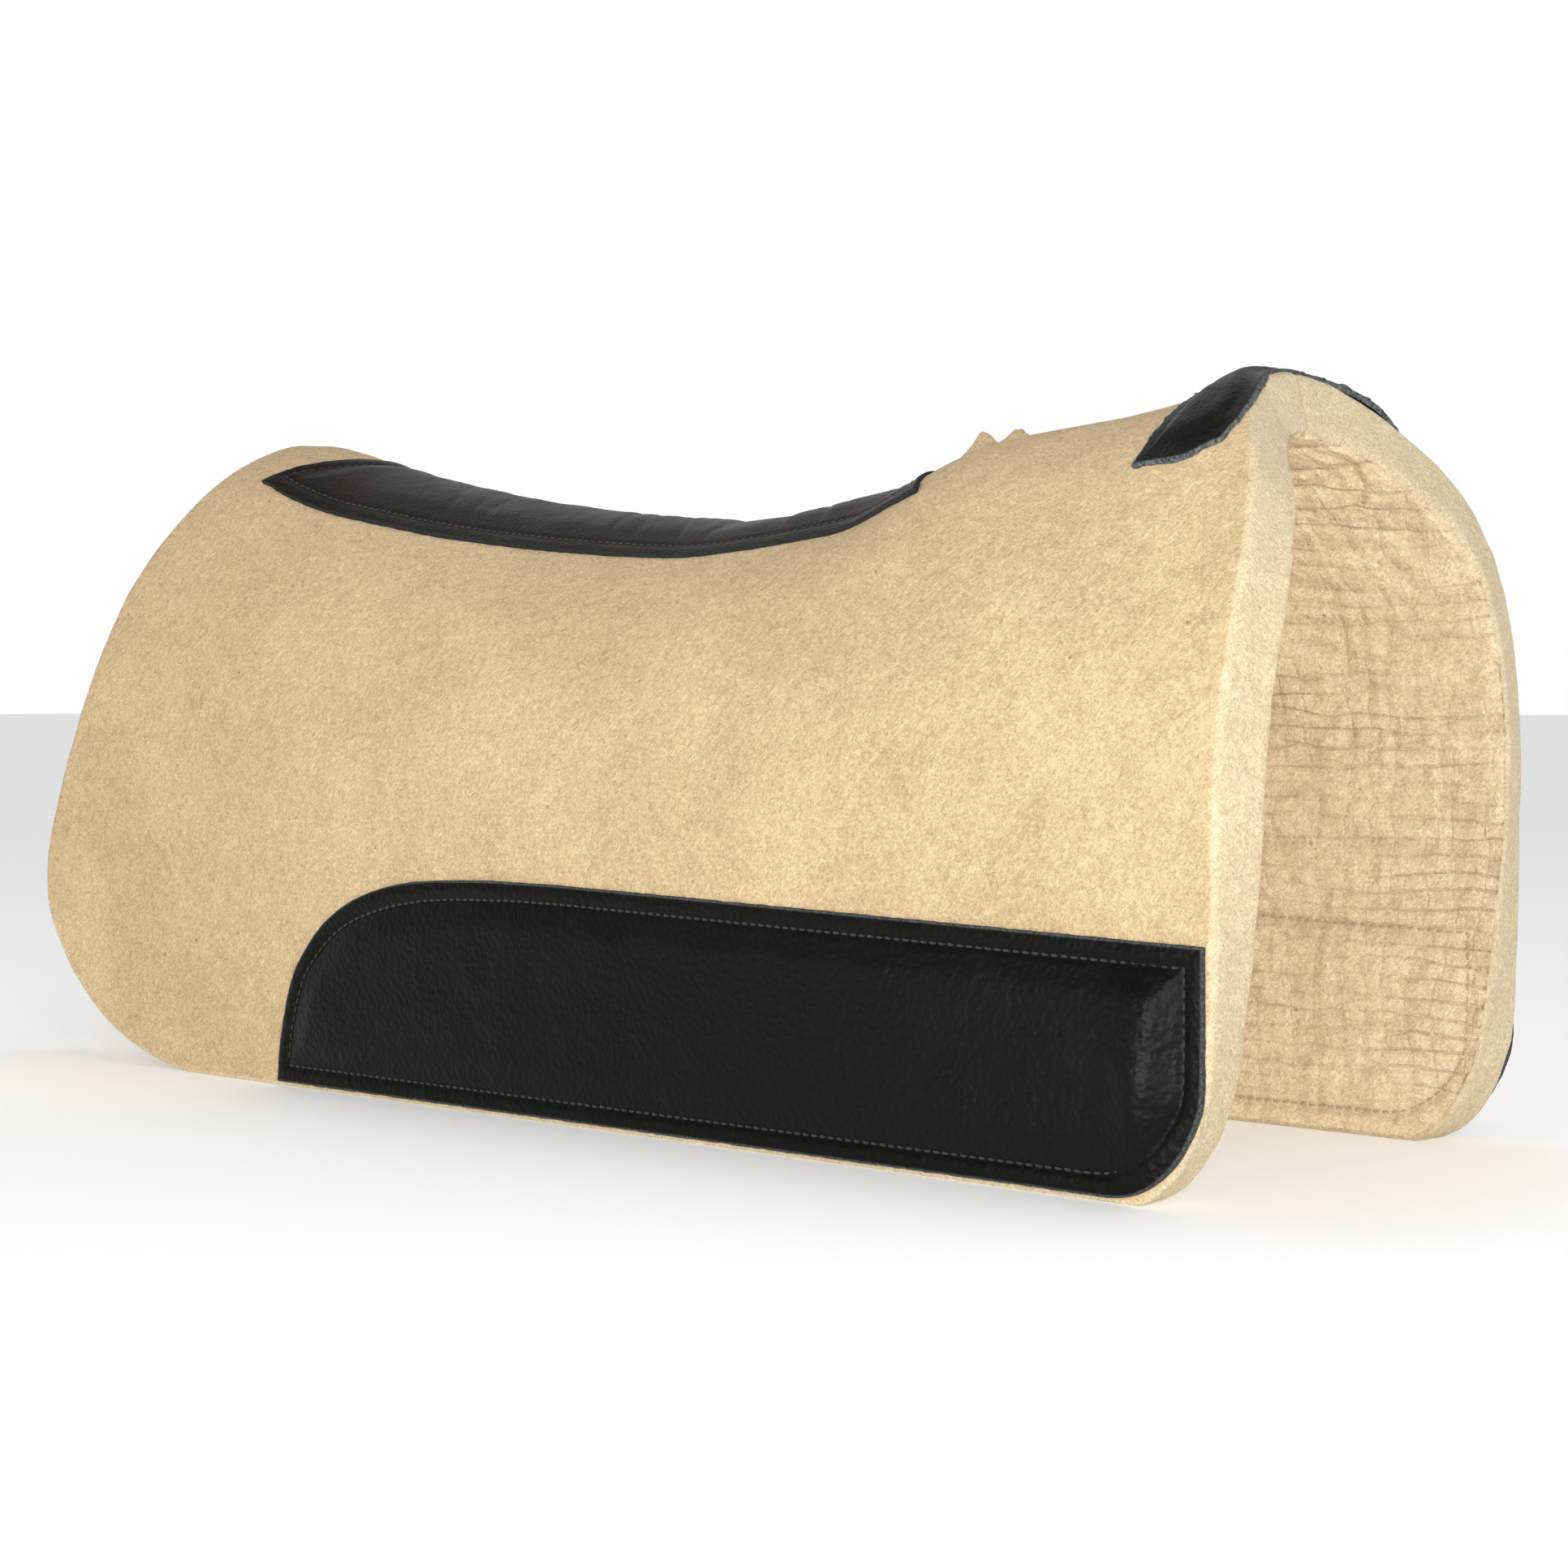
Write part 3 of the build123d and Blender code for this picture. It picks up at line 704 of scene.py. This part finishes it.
def thread_material(name, dark, light, rough):
    m, tree, shader = material(name)
    twist = node(tree, "ShaderNodeTexWave", Scale=420.0, Distortion=2.5, Detail=2.0)
    tree.links.new(stretched(tree, (1, 1, 0.7)), twist.inputs["Vector"])
    colour = ramp(tree, twist.outputs["Fac"], [(0.2, dark), (0.8, light)])
    tree.links.new(colour, shader.inputs["Base Color"])
    shader.inputs["Roughness"].default_value = rough
    shader.inputs["Sheen Weight"].default_value = 0.2
    bump = node(tree, "ShaderNodeBump", Strength=0.5, Distance=0.0003)
    tree.links.new(twist.outputs["Fac"], bump.inputs["Height"])
    tree.links.new(bump.outputs["Normal"], shader.inputs["Normal"])
    return m


felt_m = felt_material()
smooth_m = leather_material("smooth_leather", 520, (0.008, 0.006, 0.0045), (0.022, 0.0155, 0.011), (0.36, 0.5), 0.1, 0.035)
wither_m = leather_material("creased_leather", 460, (0.004, 0.004, 0.0036), (0.010, 0.0095, 0.0085), (0.34, 0.5), 0.1, 0.16)
pebble_m = leather_material("pebbled_leather", 330, (0.0018, 0.0016, 0.0012), (0.0038, 0.0033, 0.0025), (0.30, 0.40), 0.13)
needle_m = thread_material("needle_thread", (0.004, 0.004, 0.0035), (0.013, 0.012, 0.011), 0.65)
bobbin_m = thread_material("bobbin_thread", (0.42, 0.31, 0.19), (0.66, 0.52, 0.35), 0.85)

for obj, mat, word in ([(felt_left, felt_m, "felt"), (felt_right, felt_m, "felt"), (spine, smooth_m, "leather"),
                        (wither, wither_m, "leather"), (wears["left"], pebble_m, "leather"),
                        (wears["right"], pebble_m, "leather"), (spine_needle, needle_m, "needle_thread"),
                        (wither_needle, needle_m, "needle_thread"), (spine_bobbin, bobbin_m, "bobbin_thread"),
                        (wither_bobbin, bobbin_m, "bobbin_thread")]
                       + [(o, needle_m if k == "needle" else bobbin_m, f"{k}_thread") for o, _, k in rigid]):
    obj.data.materials.append(mat)

# ------------------------------------------------------------------ motion
for obj in (felt_left, felt_right, spine, wither, spine_needle, wither_needle, spine_bobbin, wither_bobbin):
    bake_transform(obj)
for word, obj in wears.items():
    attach(obj, f"{word}_half")
for obj, word, _ in rigid:
    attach(obj, f"{word}_half")

# ------------------------------------------------------------------ stage, light, camera
scene = bpy.context.scene
floor = bpy.data.objects.new("floor", bpy.data.meshes.new("floor"))
floor.data.from_pydata([(-30, -30, 0), (30, -30, 0), (30, 30, 0), (-30, 30, 0)], [], [(0, 1, 2, 3)])
scene.collection.objects.link(floor)
floor_m, floor_tree, floor_shader = material("pale_floor")
floor_shader.inputs["Base Color"].default_value = (0.93, 0.93, 0.93, 1)
floor_shader.inputs["Roughness"].default_value = 0.9
floor_shader.inputs["Specular IOR Level"].default_value = 0.1
floor_shader.inputs["Emission Color"].default_value = (1.0, 1.0, 1.0, 1)
floor_shader.inputs["Emission Strength"].default_value = 0.24
floor.data.materials.append(floor_m)

world = bpy.data.worlds.new("studio")
scene.world = world
world.use_nodes = True
sky = world.node_tree
around = sky.nodes.new("ShaderNodeTexCoord")
parts = sky.nodes.new("ShaderNodeSeparateXYZ")
sky.links.new(around.outputs["Generated"], parts.inputs[0])
# a white sweep behind the pad, a dimmer room behind the camera and overhead
behind = ramp(sky, maths(sky, "MULTIPLY_ADD", parts.outputs["Y"], 0.5), [(0.3, (0.42, 0.42, 0.42)), (0.56, (1.0, 1.0, 1.0))])
behind.node.inputs["Fac"].links[0].from_node.inputs[2].default_value = 0.5
over = ramp(sky, parts.outputs["Z"], [(0.28, (1.0, 1.0, 1.0)), (0.8, (0.55, 0.55, 0.55))])
sky.links.new(mix(sky, 1.0, behind, over, "MULTIPLY"), sky.nodes["Background"].inputs["Color"])
sky.nodes["Background"].inputs["Strength"].default_value = 1.0


def softbox(name, place, aim, size, power):
    light = bpy.data.lights.new(name, "AREA")
    light.shape = "RECTANGLE"
    light.size, light.size_y = size
    light.energy = power
    obj = bpy.data.objects.new(name, light)
    obj.location = place
    back = np.array(place, float) - np.array(aim, float)
    level = math.hypot(back[0], back[1])
    obj.rotation_euler = (math.atan2(level, back[2]), 0, math.atan2(back[0], -back[1]))
    scene.collection.objects.link(obj)


softbox("key", (1.4, -1.1, 0.42), (0.1, 0, 0.15), (0.5, 0.5), 15.5)
softbox("fill", (0.22, -2.1, 0.14), (0.3, 0, 0.1), (0.7, 0.2), 17)
softbox("top", (-0.2, 0.1, 1.9), (0, 0, 0.2), (1.1, 0.35), 4)

camera = bpy.data.cameras.new("camera")
camera.lens = 66.04
camera.sensor_width = 36
camera.clip_end = 100
view = bpy.data.objects.new("camera", camera)
view.location = (0.99285, -1.05345, 0.19955)
view.rotation_euler = (math.radians(90 - 1.713), 0, math.radians(41.71))
scene.collection.objects.link(view)
scene.camera = view
scene.view_settings.view_transform = "Standard"
